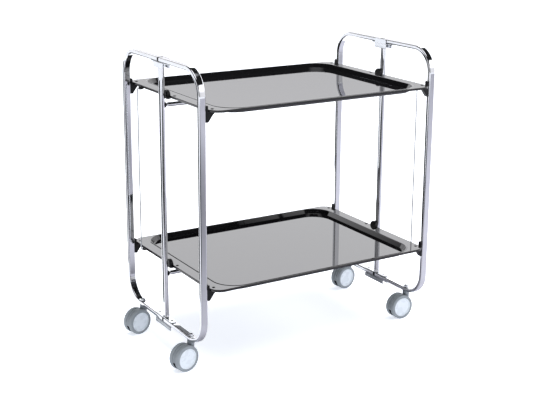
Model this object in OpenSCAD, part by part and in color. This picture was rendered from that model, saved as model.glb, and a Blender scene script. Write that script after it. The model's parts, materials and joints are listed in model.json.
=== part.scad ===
// Folding serving trolley: two tubular end frames, two tilting trays on cross bars, twin-wheel casters.
// Millimetres, +Z up, X along the trays, front at -Y. The origin is on the floor, in the middle of the
// four wheels. All of them trail to -X, so the end frames stand one trail further to +X.

/* [End frames] */
// Distance between the middle planes of the two end frames
frame_span = 620; // [480:1:760]
// Distance between the middles of the front and rear uprights
upright_span = 382; // [320:1:460]
// Height of the middle of the top rails
top_rail_z = 696; // [660:1:820]
// Height of the middle of the bottom rails
bottom_rail_z = 74; // [72:0.5:90]
// Bend radius at the middle of the tube
bend_r = 57; // [40:1:58]
// Width of the tube across the end frame
tube_w = 17; // [14:0.5:20]
// Thickness of the tube in the plane of the end frame
tube_t = 10; // [8:0.5:12]
// Corner radius of the tube's section
tube_corner = 3; // [1.5:0.1:3.5]
// Wall of the tube
tube_wall = 1.2; // [0.8:0.1:1.4]

/* [Centre hinges] */
// Gap between the front and rear halves of a rail
rail_gap = 8; // [6:0.5:12]
// Distance between the two pivot pins of a hinge
pivot_span = 64; // [50:1:80]
// Length of a hinge leaf past each pivot pin
leaf_end = 13; // [9:0.5:20]
// Width of a hinge leaf
leaf_w = 14; // [12:0.5:16]
// Thickness of a hinge leaf
leaf_t = 2; // [1.5:0.1:3]
// Length of the upturned web of the top hinge
web_len = 46; // [30:1:50]
// Height of the upturned web above the leaf
web_h = 10; // [6:0.5:12]
// Drop of the top hinge's sides below the leaf
skirt_drop = 11; // [6:0.5:16]
// Length of the strap under the bottom rail past each pivot pin
strap_end = 7; // [6:0.5:15]
// Depth of the strap's turned-down sides
strap_drop = 8; // [4:0.5:10]
// Radius of a hinge pin
hinge_pin_r = 2.5; // [2:0.1:3]
// Rim of a hinge pin's head around its shank
pin_head_rim = 1.5; // [1:0.1:2]
// Height of a hinge pin's head
pin_head_h = 1.2; // [0.8:0.1:1.6]
// Thickness of the end cap of a tube plug
plug_cap = 1.6; // [1:0.1:2.5]
// Length of a tube plug past its pivot pin
plug_tail = 8; // [5:0.5:20]

/* [Centre posts] */
// Radius of a centre post
post_r = 7; // [6:0.25:8]
// Wall of a centre post
post_wall = 1.5; // [1:0.1:2]

/* [Trays] */
// Gap between a tray's short end and the inner face of an end frame
tray_end_gap = 5.5; // [4:0.5:9]
// How far a tray stands past the middle of the uprights, front and back
tray_overhang = 26; // [20:1:35]
// Height of the upper tray's rim
upper_rim_z = 614; // [560:1:640]
// Height of the lower tray's rim
lower_rim_z = 211; // [200:1:260]
// Corner radius of a tray
tray_corner = 28; // [15:1:45]
// Sheet thickness of a tray
sheet = 1.2; // [1:0.1:2]
// Depth of the turned-down hem
hem = 5; // [3:0.5:7]
// Depth of the well below the rim
well_depth = 11; // [8:0.5:20]
// Width of the ledge at the short ends
end_ledge = 31; // [26:1:50]
// Width of the ledge at the long sides
side_ledge = 7; // [6:0.5:20]
// Corner radius of the well's mouth
well_corner = 52; // [30:1:70]
// How far the well's walls lean in
well_lean = 7; // [3:0.5:12]
// Radius of the rolled bead around the well
bead_r = 1.6; // [1:0.1:2.5]

/* [Tray bars] */
// Radius of a tray bar
bar_r = 5; // [4:0.25:6]
// Distance of a tray bar below the sheet above it
bar_gap = 5.3; // [0.3:0.1:8]
// Radius of the turned spigot at a bar's ends
spigot_r = 3; // [2:0.1:3.5]
// Length of the bar past the tray's edge
bar_past_tray = 1; // [0:0.5:2]
// Radius of a bush's collar
bush_collar_r = 6.5; // [5:0.25:7]
// Thickness of a bush's collar
bush_collar = 2; // [1:0.1:2.5]
// Wall of a bush
bush_wall = 1.2; // [0.8:0.1:1.5]
// Distance of the outer saddles from the middle
saddle_x = 200; // [100:1:215]
// Length of a saddle along the bar
saddle_len = 18; // [10:0.5:30]
// Thickness of a saddle
saddle_t = 2; // [1.5:0.1:3]
// Foot of a saddle beside the bar
saddle_foot = 11; // [8:0.5:16]
// How far a spigot and its bush stand past the inside of the post's wall
spigot_past = 2; // [1.5:0.1:2.5]

/* [Catches] */
// Width of a catch along the upright's thickness
catch_w = 9; // [6:0.5:12]
// Drop of a corner catch below the tray
catch_drop = 28; // [15:0.5:32]
// Reach of a corner catch under the tray
catch_reach = 17; // [10:0.5:24]
// Rise of a corner catch above the tray
catch_rise = 8; // [4:0.5:12]
// Thickness of a corner catch's sole under the tray
sole_t = 3; // [2:0.5:4]
// Bevel on the edges of a corner catch
catch_bevel = 1; // [0.5:0.1:1.5]
// Length of a catch's sole past its rivet
sole_past = 5; // [4:0.5:8]
// Distance of a rivet from the tray's short end
rivet_inset = 12; // [9:0.5:19]
// Radius of the half-round centre catch
centre_catch_r = 11; // [8:0.5:14]
// Height of the centre catch's axis above the tray
centre_catch_rise = 4; // [1:0.5:6]
// Thickness of the centre catch
centre_catch_t = 8; // [6:0.5:12]
// Distance of the centre catch's rivet from its axis
centre_rivet_y = 21; // [18:0.5:26]
// Radius of a tray rivet's shank
rivet_r = 2; // [1.5:0.1:2.5]
// Radius of a tray rivet's head
rivet_head_r = 3.6; // [3:0.1:5]
// Height of a tray rivet's head
rivet_head_h = 1.2; // [0.8:0.1:2]

/* [Link rods] */
// Radius of a link rod
rod_r = 1.5; // [1:0.1:2]
// Distance of the link rods in from the middle of the uprights
rod_inset = 37; // [26:1:71]
// Depth of a rod's pivot below the tray's rim
rod_pivot_drop = 10; // [7:0.5:18]
// Gap between the tray's end and a rod
rod_gap = 1.5; // [0.5:0.1:2]
// Length of a rod block along the tray's end
block_w = 9; // [7:0.5:20]
// Reach of a rod block in from the tray's end
block_reach = 10; // [7:0.5:18]
// Thickness of a rod block below the rod
block_cover = 2; // [1.5:0.1:3]

/* [Casters] */
// Gap between a stem's dome nut and the start of the bend
nut_bend_gap = 0.2; // [0:0.1:20]
// Radius of a caster wheel
wheel_r = 31; // [25:0.5:32]
// Width of one of the two wheels
wheel_w = 10.5; // [8:0.5:14]
// Distance of the axle behind the stem
trail = 20; // [14:0.5:24]
// Width of the hood between the wheels
hood_w = 9; // [7:0.5:12]
// Radius of the neck above the hood
neck_r = 8.5; // [7:0.25:10]
// Radius of a caster's stem
stem_r = 4; // [3:0.25:4.5]
// Height of a stem's lower end above the axle
stem_cover = 8; // [6:0.5:12]
// Radius of a stem's dome nut
nut_r = 6; // [5.5:0.25:8]
// Height of a dome nut above its flange
nut_h = 5; // [4:0.5:8]
// Thickness of a dome nut's flange, and how far it stands out
nut_flange = 0.8; // [0.8:0.1:2]
// How far the hood's edge lies inside the wheels'
hood_inset = 1; // [0.5:0.5:4]
// Height of the hood's lower edge above the floor
hood_foot = 8; // [5:0.5:12]
// Radius of the mouth cut into the hood's trailing edge
mouth_r = 13; // [8:0.5:16]
// Radius of the axle
axle_r = 3; // [2:0.25:4]
// Thickness of the tyre
tyre_t = 7; // [4:0.5:10]
// Rounding of the tyre's edges
tyre_edge = 2.2; // [1:0.1:3]
// Dish of the wheel's hub cap
hub_dish = 1.2; // [0.5:0.1:2]
// Width of the flat rim round a hub's cap
hub_rim = 2.5; // [1.5:0.1:4]
// Thickness of the hub over the axle's end
hub_cover = 3; // [2.5:0.1:4]
// How the front left caster is turned at rest
front_left_turn = 11; // [-180:1:180]
// How the rear left caster is turned at rest
rear_left_turn = 13; // [-180:1:180]
// How the front right caster is turned at rest
front_right_turn = -1; // [-180:1:180]
// How the rear right caster is turned at rest
rear_right_turn = 8; // [-180:1:180]

/* [Clearances] */
// Gap between pieces that lie face to face
seat_gap = 0.3; // [0.2:0.05:0.5]
// Radial clearance of a turning pin
run_gap = 0.05; // [0.02:0.01:0.08]
// Gap between a wheel and its hood
wheel_gap = 0.5; // [0.3:0.1:1]

/* [Hidden] */
$fn = 48;
eps = 0.01;

frame_x = frame_span / 2;
upright_y = upright_span / 2;
pivot_y = pivot_span / 2;
leaf_half = pivot_y + leaf_end;
inner_face = frame_x - tube_w / 2;
rail_top = bottom_rail_z + tube_t / 2;
rail_bottom = bottom_rail_z - tube_t / 2;
bottom_leaf_top = rail_top + seat_gap + leaf_t;
strap_bottom = rail_bottom - seat_gap - leaf_t;
top_leaf_top = top_rail_z - tube_t / 2 - seat_gap;
top_leaf_bottom = top_leaf_top - leaf_t;
pin_head_r = hinge_pin_r + pin_head_rim;

tray_len = frame_span - tube_w - 2 * tray_end_gap;
tray_depth = upright_span + 2 * tray_overhang;
tray_x = tray_len / 2;
tray_y = tray_depth / 2;
floor_drop = well_depth + sheet;
bar_drop = floor_drop + bar_gap + bar_r;
bar_end = tray_x + bar_past_tray;
post_inner = frame_x - post_r;
pad_x = inner_face - seat_gap;
rivet_x = tray_x - rivet_inset;
rod_x = tray_x + rod_gap + rod_r;
block_outer = tray_x - sheet - seat_gap;
block_inner = block_outer - block_reach;
block_top = sheet;
block_bottom = rod_pivot_drop + rod_r + block_cover;
rod_y = upright_y - rod_inset;
stem_y = upright_y - bend_r - nut_bend_gap - nut_flange - nut_r;

hood_half = hood_w / 2;
wheel_in = hood_half + wheel_gap;
wheel_out = wheel_in + wheel_w;
hood_r = wheel_r - hood_inset;
hub_r = wheel_r - tyre_t;
stem_bottom = wheel_r + stem_cover;
hood_top = rail_bottom - seat_gap;

chrome = [0.80, 0.81, 0.83];
black_steel = [0.10, 0.10, 0.11];
black_plastic = [0.06, 0.06, 0.07];
steel = [0.62, 0.63, 0.65];
grey_rubber = [0.52, 0.54, 0.56];
grey_plastic = [0.45, 0.47, 0.49];
pale_plastic = [0.86, 0.88, 0.90];

// Plain rectangle with round corners, centred
module rounded_rect(w, h, r) {
    square([w - 2 * r, h], center = true);
    square([w, h - 2 * r], center = true);
    for (x = [-1, 1], y = [-1, 1])
        translate([x * (w / 2 - r), y * (h / 2 - r)]) circle(r);
}

// Tube section with its wide side along the first axis
module tube_section() {
    difference() {
        rounded_rect(tube_w, tube_t, tube_corner);
        rounded_rect(tube_w - 2 * tube_wall, tube_t - 2 * tube_wall, tube_corner - tube_wall);
    }
}

// Quarter bend of the tube, from the +Y direction round to +Z or -Z
module tube_bend(up) {
    rotate([0, 90, 0]) rotate([0, 0, up ? 90 : 0]) rotate_extrude(angle = 90, $fn = 96)
        translate([bend_r, 0]) rotate([0, 0, 90]) tube_section();
}

// Straight half rail from the centre gap to the bend, lying along +Y
module half_rail() {
    rail_start = rail_gap / 2;
    rail_end = upright_y - bend_r;
    translate([0, rail_end, 0]) rotate([90, 0, 0]) linear_extrude(rail_end - rail_start) tube_section();
}

// One half of an end frame: a tube bent to a C, pinned at both centre hinges
module half_frame(side, depth) {
    color(chrome) translate([side * frame_x, 0, 0]) scale_y(depth) difference() {
        union() {
            translate([0, 0, top_rail_z]) half_rail();
            translate([0, 0, bottom_rail_z]) half_rail();
            translate([0, upright_y - bend_r, top_rail_z - bend_r]) tube_bend(true);
            translate([0, upright_y - bend_r, bottom_rail_z + bend_r]) tube_bend(false);
            translate([0, upright_y, bottom_rail_z + bend_r])
                linear_extrude(top_rail_z - bottom_rail_z - 2 * bend_r) tube_section();
        }
        translate([0, pivot_y, top_rail_z - tube_t]) cylinder(r = hinge_pin_r + run_gap, h = tube_t);
        translate([0, pivot_y, bottom_rail_z - tube_t]) cylinder(r = hinge_pin_r + run_gap, h = 2 * tube_t);
        translate([0, stem_y, bottom_rail_z - tube_t]) cylinder(r = stem_r + run_gap, h = 2 * tube_t);
    }
}

// Moves the whole trolley from the middle of its end frames to the middle of its wheels
module stand() {
    translate([trail, 0, 0]) children();
}

// Mirrors front to back where the sign is negative
module scale_y(sign) {
    mirror([0, sign < 0 ? 1 : 0, 0]) children();
}

// Repeats a piece at both ends, the right one turned half round
module both_ends() {
    children();
    rotate([0, 0, 180]) children();
}

// Flat hinge leaf with round ends, lying along Y
module leaf_plate() {
    end_y = leaf_half - leaf_w / 2;
    linear_extrude(leaf_t) difference() {
        union() {
            square([leaf_w, 2 * end_y], center = true);
            for (y = [-1, 1]) translate([0, y * end_y]) circle(leaf_w / 2);
        }
        for (y = [-1, 1]) translate([0, y * pivot_y]) circle(hinge_pin_r + run_gap);
    }
}

// Top hinge: a leaf under the rail, a web beside the rail's inner face, and sides turned down past the post
module top_hinge(side) {
    web_x = tube_w / 2 + seat_gap;
    skirt_x = post_r + seat_gap + leaf_t;
    color(chrome) rotate([0, 0, side > 0 ? 180 : 0]) translate([-frame_x, 0, top_leaf_bottom]) {
        leaf_plate();
        translate([-skirt_x, -web_len / 2, 0]) cube([skirt_x + web_x + leaf_t, web_len, leaf_t]);
        translate([web_x, -web_len / 2, -skirt_drop]) cube([leaf_t, web_len, skirt_drop + leaf_t + web_h]);
        translate([-skirt_x, -web_len / 2, -skirt_drop]) cube([leaf_t, web_len, skirt_drop + leaf_t / 2]);
    }
}

// Bottom hinge: the leaf on top of the rail that carries the post
module bottom_hinge(side) {
    color(chrome) translate([side * frame_x, 0, bottom_leaf_top - leaf_t]) leaf_plate();
}

// Strap under the bottom rail, held by the same pins, with both sides turned down
module bottom_strap(side) {
    strap_half = pivot_y + strap_end;
    color(steel) translate([side * frame_x, 0, strap_bottom]) difference() {
        union() {
            translate([-tube_w / 2, -strap_half, 0]) cube([tube_w, 2 * strap_half, leaf_t]);
            for (x = [-tube_w / 2, tube_w / 2 - leaf_t]) translate([x, -strap_half, -strap_drop])
                cube([leaf_t, 2 * strap_half, strap_drop + leaf_t / 2]);
        }
        for (y = [-1, 1]) translate([0, y * pivot_y, -leaf_t])
            cylinder(r = hinge_pin_r + run_gap, h = 3 * leaf_t);
    }
}

// Pins of all four hinges
module hinge_pins() {
    color(chrome) for (x = [-1, 1], y = [-1, 1]) translate([x * frame_x, y * pivot_y, 0]) {
        translate([0, 0, strap_bottom - pin_head_h])
            cylinder(r = pin_head_r, h = pin_head_h);
        translate([0, 0, strap_bottom - eps])
            cylinder(r = hinge_pin_r, h = bottom_leaf_top - strap_bottom + 2 * eps);
        translate([0, 0, bottom_leaf_top]) cylinder(r = pin_head_r, h = pin_head_h);
        translate([0, 0, top_leaf_bottom - pin_head_h]) cylinder(r = pin_head_r, h = pin_head_h);
        translate([0, 0, top_leaf_bottom - eps])
            cylinder(r = hinge_pin_r, h = leaf_t + seat_gap + tube_t - tube_wall - seat_gap);
    }
}

// Plug that closes a half rail's end and guides its hinge pin
module tube_plug() {
    plug_start = rail_gap / 2;
    plug_len = pivot_y + plug_tail - plug_start;
    core_w = tube_w - 2 * tube_wall - 2 * run_gap;
    core_t = tube_t - 2 * tube_wall - 2 * run_gap;
    difference() {
        union() {
            translate([0, plug_start, 0]) rotate([90, 0, 0])
                linear_extrude(plug_cap) rounded_rect(tube_w, tube_t, tube_corner);
            translate([0, plug_start + plug_len, 0]) rotate([90, 0, 0])
                linear_extrude(plug_len + eps) rounded_rect(core_w, core_t, tube_corner - tube_wall);
        }
        translate([0, pivot_y, -tube_t]) cylinder(r = hinge_pin_r + run_gap, h = 2 * tube_t);
    }
}

// All eight tube plugs
module tube_plugs() {
    color(black_plastic) for (x = [-1, 1], y = [-1, 1], z = [bottom_rail_z, top_rail_z])
        translate([x * frame_x, 0, z]) scale_y(y) tube_plug();
}

// Centre post between the bottom and the top hinge, bored for the bushes
module centre_post(side) {
    post_h = top_leaf_bottom - bottom_leaf_top;
    color(chrome) translate([side * frame_x, 0, 0]) difference() {
        translate([0, 0, bottom_leaf_top]) cylinder(r = post_r, h = post_h);
        translate([0, 0, bottom_leaf_top + post_wall])
            cylinder(r = post_r - post_wall, h = post_h - 2 * post_wall);
        for (z = [upper_rim_z, lower_rim_z]) translate([-side * post_r, 0, z - bar_drop])
            rotate([0, side * 90, 0]) cylinder(r = spigot_r + run_gap + bush_wall + run_gap, h = post_r);
    }
}

// Collared bush in a post, in which a bar's spigot turns
module bar_bush() {
    bore = spigot_r + run_gap;
    difference() {
        union() {
            translate([post_inner - bush_collar, 0, 0]) rotate([0, 90, 0])
                cylinder(r = bush_collar_r, h = bush_collar);
            translate([post_inner - eps, 0, 0]) rotate([0, 90, 0])
                cylinder(r = bore + bush_wall, h = post_wall + spigot_past / 2 + eps);
        }
        translate([post_inner - 2 * bush_collar, 0, 0]) rotate([0, 90, 0])
            cylinder(r = bore, h = 4 * bush_collar + post_r);
    }
}

// All four bushes
module bar_bushes() {
    color(black_plastic) for (z = [upper_rim_z, lower_rim_z]) translate([0, 0, z - bar_drop])
        both_ends() bar_bush();
}

// Stems that hold the casters in the bottom rails
module caster_stems() {
    color(steel) for (x = [-1, 1], y = [-1, 1]) translate([x * frame_x, y * stem_y, stem_bottom])
        cylinder(r = stem_r, h = rail_top + 2 * nut_flange - stem_bottom);
}

// Flanged dome nuts on top of the bottom rails, bored for the stems
module caster_nuts() {
    color(chrome) for (x = [-1, 1], y = [-1, 1]) translate([x * frame_x, y * stem_y, rail_top + eps])
        difference() {
            union() {
                cylinder(r = nut_r + nut_flange, h = nut_flange);
                translate([0, 0, nut_flange / 2]) intersection() {
                    cylinder(r = nut_r, h = nut_h + nut_flange / 2);
                    translate([0, 0, -nut_r / 2]) sphere(r = nut_r * 1.25);
                }
            }
            translate([0, 0, -nut_flange]) cylinder(r = stem_r + run_gap, h = 3 * nut_flange + seat_gap);
        }
}

// Runs a wall's profile once round a rectangle with round corners. The profile's first axis points out
module run_round(w, d, r) {
    for (side = [0, 1]) rotate([0, 0, side * 180]) {
        translate([w / 2, d / 2 - r, 0]) rotate([90, 0, 0]) linear_extrude(d - 2 * r) children();
        translate([-w / 2 + r, d / 2, 0]) rotate([90, 0, 90]) linear_extrude(w - 2 * r) children();
    }
    for (x = [0, 1], y = [0, 1]) mirror([x, 0, 0]) mirror([0, y, 0])
        translate([w / 2 - r, d / 2 - r, 0]) rotate_extrude(angle = 90, $fn = 96)
            translate([r, 0]) children();
}

// Pressed sheet tray at its own rim height: ledge, turned-down hem, well with leaning walls, bead
module tray_pan() {
    mouth_w = tray_len - 2 * end_ledge;
    mouth_d = tray_depth - 2 * side_ledge;
    floor_w = mouth_w - 2 * well_lean;
    floor_d = mouth_d - 2 * well_lean;
    floor_r = well_corner - well_lean;
    difference() {
        translate([0, 0, -sheet]) linear_extrude(sheet) rounded_rect(tray_len, tray_depth, tray_corner);
        translate([0, 0, -2 * sheet]) linear_extrude(3 * sheet) rounded_rect(mouth_w, mouth_d, well_corner);
    }
    run_round(tray_len, tray_depth, tray_corner)
        translate([-sheet, -hem]) square([sheet, hem - sheet / 2]);
    run_round(mouth_w, mouth_d, well_corner) polygon([
        [-eps, -sheet], [sheet, -sheet], [sheet, 0], [0, 0],
        [-well_lean, -well_depth], [-well_lean - sheet, -well_depth],
        [-well_lean - sheet, -floor_drop], [-well_lean + sheet / 2, -floor_drop]
    ]);
    run_round(mouth_w, mouth_d, well_corner) translate([bead_r, -bead_r / 2]) circle(bead_r, $fn = 32);
    translate([0, 0, -floor_drop]) linear_extrude(sheet) rounded_rect(floor_w, floor_d, floor_r);
}

// Holes for the rivets and a tray in its place
module tray(rim_z) {
    color(black_steel) translate([0, 0, rim_z]) difference() {
        tray_pan();
        rivet_places() translate([0, 0, -2 * sheet]) cylinder(r = rivet_r + run_gap, h = 3 * sheet);
    }
}

// Puts a child at each rivet of a tray
module rivet_places() {
    for (x = [-1, 1], y = [-1, 1]) translate([x * rivet_x, y * upright_y, 0]) children();
    both_ends() translate([-rivet_x - centre_catch_t / 2, -centre_rivet_y, 0]) children();
}

// Rivets of one tray: a low head on the sheet and a shank into the catch
module tray_rivets(rim_z) {
    color(black_plastic) translate([0, 0, rim_z]) rivet_places() {
        intersection() {
            cylinder(r = rivet_head_r, h = rivet_head_h);
            translate([0, 0, rivet_head_h - 2 * rivet_head_r]) sphere(r = 2 * rivet_head_r);
        }
        translate([0, 0, -sheet - sole_t + 0.5]) cylinder(r = rivet_r, h = sheet + sole_t);
    }
}

// Bar under the tray, with a turned spigot at each end that runs in the post's bush
module tray_bar(rim_z) {
    spigot_end = post_inner + post_wall + spigot_past;
    color(chrome) translate([0, 0, rim_z - bar_drop]) rotate([0, 90, 0]) {
        translate([0, 0, -bar_end]) cylinder(r = bar_r, h = 2 * bar_end);
        translate([0, 0, -spigot_end]) cylinder(r = spigot_r, h = 2 * spigot_end);
    }
}

// Moulded saddles that hold the bar below the tray, each with two feet on its underside
module bar_saddles(rim_z) {
    saddle_r = bar_r + run_gap + saddle_t;
    saddle_h = bar_r + bar_gap;
    foot_half = saddle_r + saddle_foot;
    color(black_plastic) translate([0, 0, rim_z - bar_drop]) for (x = [-saddle_x, 0, saddle_x])
        translate([x - saddle_len / 2, 0, 0]) rotate([90, 0, 90]) linear_extrude(saddle_len) difference() {
            union() {
                circle(saddle_r);
                translate([-saddle_r, 0]) square([2 * saddle_r, saddle_h - eps]);
                translate([-foot_half, saddle_h - saddle_t]) square([2 * foot_half, saddle_t - eps]);
            }
            circle(bar_r + run_gap);
            translate([-foot_half, saddle_h]) square([2 * foot_half, saddle_r]);
        }
}

// Corner catch under the tray's ledge, with a pad that lies against the upright
module corner_catch() {
    pad_back = tray_x + seat_gap;
    past_corner = max(0, upright_y + catch_w / 2 - tray_y + tray_corner);
    hem_r = tray_corner - sheet;
    hem_in = hem_r - sqrt(hem_r * hem_r - past_corner * past_corner);
    gusset_x = tray_x - sheet - seat_gap - hem_in;
    sole_len = gusset_x - rivet_x + sole_past;
    bore_depth = sheet + 1.5 * sole_t;
    difference() {
        translate([0, upright_y + catch_w / 2, 0]) rotate([90, 0, 0]) linear_extrude(catch_w) {
            polygon([
                [pad_back, catch_rise], [pad_x, catch_rise + catch_bevel], [pad_x, -catch_drop],
                [pad_back, -catch_drop], [pad_back - catch_bevel, -catch_drop + catch_bevel],
                [gusset_x - catch_reach * 0.45, -catch_drop / 2], [gusset_x - catch_reach, -sheet - sole_t],
                [gusset_x - catch_reach, -sheet], [gusset_x, -sheet], [gusset_x, -hem - seat_gap],
                [pad_back, -hem - seat_gap]
            ]);
            translate([gusset_x - sole_len, -sheet - sole_t]) square([sole_len, sole_t]);
        }
        translate([rivet_x, upright_y, -bore_depth]) cylinder(r = rivet_r + run_gap, h = bore_depth);
    }
}

// The four corner catches of one tray
module corner_catches(rim_z) {
    color(black_plastic) translate([0, 0, rim_z])
        for (x = [0, 1], y = [0, 1]) mirror([x, 0, 0]) mirror([0, y, 0]) corner_catch();
}

// Half-round centre catch that stands over the tray's edge beside the post, with a riveted sole
module centre_catch() {
    catch_outer = -pad_x;
    sole_x = -tray_x + sheet + seat_gap;
    rivet_at = -rivet_x - centre_catch_t / 2;
    translate([catch_outer, 0, 0]) rotate([90, 0, 90]) linear_extrude(centre_catch_t) difference() {
        union() {
            translate([0, centre_catch_rise]) circle(centre_catch_r);
            translate([-centre_catch_r, -hem - sole_t])
                square([2 * centre_catch_r, hem + sole_t + centre_catch_rise]);
        }
        translate([-2 * centre_catch_r, -hem - sole_t - centre_catch_r])
            square([4 * centre_catch_r, centre_catch_r]);
    }
    difference() {
        translate([sole_x, -centre_rivet_y - sole_past, -sheet - sole_t])
            cube([rivet_at - sole_x + sole_past, centre_rivet_y + sole_past + centre_catch_r, sole_t]);
        translate([rivet_at, -centre_rivet_y, -3 * sole_t])
            cylinder(r = rivet_r + run_gap, h = 3 * sole_t + sheet);
    }
}

// The sheet and hem cut away from a centre catch
module centre_catches(rim_z) {
    slot_in = tray_x;
    color(black_plastic) translate([0, 0, rim_z]) both_ends() difference() {
        centre_catch();
        translate([-slot_in - seat_gap, -tray_y, -sheet - eps])
            cube([slot_in, tray_depth, sheet + eps]);
        translate([-slot_in - seat_gap, -tray_y, -hem - seat_gap])
            cube([sheet + 2 * seat_gap, tray_depth, hem + seat_gap]);
    }
}

// Blocks under a tray that carry the bent ends of the link rods
module rod_blocks(rim_z) {
    color(black_plastic) translate([0, 0, rim_z]) both_ends() translate([0, rod_y, 0]) difference() {
        translate([-block_outer, -block_w / 2, -block_bottom])
            cube([block_reach, block_w, block_bottom - block_top]);
        translate([-block_outer - 1, 0, -rod_pivot_drop]) rotate([0, 90, 0])
            cylinder(r = rod_r + run_gap, h = block_reach + 2);
    }
}

// Link rod that ties the trays together, bent in at both ends
module link_rod() {
    rod_low = lower_rim_z - rod_pivot_drop;
    rod_high = upper_rim_z - rod_pivot_drop;
    color(chrome) translate([-rod_x, rod_y, 0]) {
        translate([0, 0, rod_low]) cylinder(r = rod_r, h = rod_high - rod_low);
        for (z = [rod_low, rod_high]) translate([0, 0, z]) {
            sphere(r = rod_r);
            rotate([0, 90, 0]) cylinder(r = rod_r, h = rod_x - block_inner);
        }
    }
}

// Puts a caster piece at its stem, turned as the caster stands
module at_caster(side, depth, turn) {
    translate([side * frame_x, depth * stem_y, 0]) rotate([0, 0, turn]) children();
}

// Caster hood: a plate between the wheels with an open mouth, and a neck that turns on the stem bolt
module hood() {
    color(grey_plastic) difference() {
        union() {
            translate([-trail, hood_half, wheel_r]) rotate([90, 0, 0])
                cylinder(r = hood_r, h = hood_w, $fn = 96);
            translate([0, 0, wheel_r]) cylinder(r = neck_r, h = hood_top - wheel_r);
        }
        for (y = [wheel_in - wheel_gap, -wheel_out - wheel_gap])
            translate([-trail, y + wheel_w + 2 * wheel_gap, wheel_r]) rotate([90, 0, 0])
                cylinder(r = wheel_r + wheel_gap, h = wheel_w + 2 * wheel_gap, $fn = 96);
        translate([0, 0, stem_bottom - seat_gap]) cylinder(r = stem_r + run_gap, h = hood_top);
        translate([-trail, hood_w, wheel_r]) rotate([90, 0, 0])
            cylinder(r = axle_r + run_gap, h = 2 * hood_w);
        translate([-trail - 2 * wheel_r, -hood_w, -hood_foot]) cube([4 * wheel_r, 2 * hood_w, 2 * hood_foot]);
        translate([-trail - wheel_r * 0.75, hood_w, wheel_r * 0.42]) rotate([90, 0, 0])
            cylinder(r = mouth_r, h = 2 * hood_w);
    }
}

// Axle pressed into the hood
module axle() {
    axle_half = wheel_out - hub_cover;
    color(steel) translate([-trail, axle_half, wheel_r]) rotate([90, 0, 0])
        cylinder(r = axle_r, h = 2 * axle_half);
}

// Tyre of one wheel, on the front (-1) or rear (1) side of its hood
module tyre(depth) {
    color(grey_rubber) translate([-trail, 0, wheel_r]) scale_y(depth) translate([0, wheel_in, 0])
        rotate([-90, 0, 0]) rotate_extrude($fn = 96) translate([hub_r + tyre_t / 2, wheel_w / 2])
            rounded_rect(tyre_t, wheel_w, tyre_edge);
}

// Hub of one wheel with a dished cap, closed over the axle's end
module hub(depth) {
    hub_edge = hub_r - run_gap;
    cap_r = hub_edge - hub_rim;
    color(pale_plastic) translate([-trail, 0, wheel_r]) scale_y(depth) translate([0, wheel_in, 0])
        rotate([-90, 0, 0]) rotate_extrude($fn = 96) polygon([
            [axle_r + run_gap, 0], [hub_edge, 0], [hub_edge, wheel_w], [cap_r, wheel_w],
            [cap_r - hub_dish, wheel_w - hub_dish], [0, wheel_w - hub_dish],
            [0, wheel_w - hub_cover + seat_gap], [axle_r + run_gap, wheel_w - hub_cover + seat_gap]
        ]);
}

stand() half_frame(-1, -1);  // left_front_frame
stand() half_frame(-1, 1);  // left_rear_frame
stand() half_frame(1, -1);  // right_front_frame
stand() half_frame(1, 1);  // right_rear_frame
stand() centre_post(-1);  // left_post
stand() centre_post(1);  // right_post
stand() top_hinge(-1);  // left_top_hinge
stand() top_hinge(1);  // right_top_hinge
stand() bottom_hinge(-1);  // left_bottom_hinge
stand() bottom_hinge(1);  // right_bottom_hinge
stand() bottom_strap(-1);  // left_bottom_strap
stand() bottom_strap(1);  // right_bottom_strap
stand() hinge_pins();
stand() tube_plugs();
stand() bar_bushes();
stand() caster_stems();
stand() caster_nuts();
stand() tray(upper_rim_z);  // upper_tray
stand() tray_bar(upper_rim_z);  // upper_bar
stand() bar_saddles(upper_rim_z);  // upper_bar_saddles
stand() corner_catches(upper_rim_z);  // upper_corner_catches
stand() centre_catches(upper_rim_z);  // upper_centre_catches
stand() tray_rivets(upper_rim_z);  // upper_tray_rivets
stand() rod_blocks(upper_rim_z);  // upper_rod_blocks
stand() tray(lower_rim_z);  // lower_tray
stand() tray_bar(lower_rim_z);  // lower_bar
stand() bar_saddles(lower_rim_z);  // lower_bar_saddles
stand() corner_catches(lower_rim_z);  // lower_corner_catches
stand() centre_catches(lower_rim_z);  // lower_centre_catches
stand() tray_rivets(lower_rim_z);  // lower_tray_rivets
stand() rod_blocks(lower_rim_z);  // lower_rod_blocks
stand() link_rod();  // left_link_rod
stand() rotate([0, 0, 180]) link_rod();  // right_link_rod
stand() at_caster(-1, -1, front_left_turn) hood();  // front_left_hood
stand() at_caster(-1, -1, front_left_turn) axle();  // front_left_axle
stand() at_caster(-1, -1, front_left_turn) tyre(-1);  // front_left_front_tyre
stand() at_caster(-1, -1, front_left_turn) hub(-1);  // front_left_front_hub
stand() at_caster(-1, -1, front_left_turn) tyre(1);  // front_left_rear_tyre
stand() at_caster(-1, -1, front_left_turn) hub(1);  // front_left_rear_hub
stand() at_caster(-1, 1, rear_left_turn) hood();  // rear_left_hood
stand() at_caster(-1, 1, rear_left_turn) axle();  // rear_left_axle
stand() at_caster(-1, 1, rear_left_turn) tyre(-1);  // rear_left_front_tyre
stand() at_caster(-1, 1, rear_left_turn) hub(-1);  // rear_left_front_hub
stand() at_caster(-1, 1, rear_left_turn) tyre(1);  // rear_left_rear_tyre
stand() at_caster(-1, 1, rear_left_turn) hub(1);  // rear_left_rear_hub
stand() at_caster(1, -1, front_right_turn) hood();  // front_right_hood
stand() at_caster(1, -1, front_right_turn) axle();  // front_right_axle
stand() at_caster(1, -1, front_right_turn) tyre(-1);  // front_right_front_tyre
stand() at_caster(1, -1, front_right_turn) hub(-1);  // front_right_front_hub
stand() at_caster(1, -1, front_right_turn) tyre(1);  // front_right_rear_tyre
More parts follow.
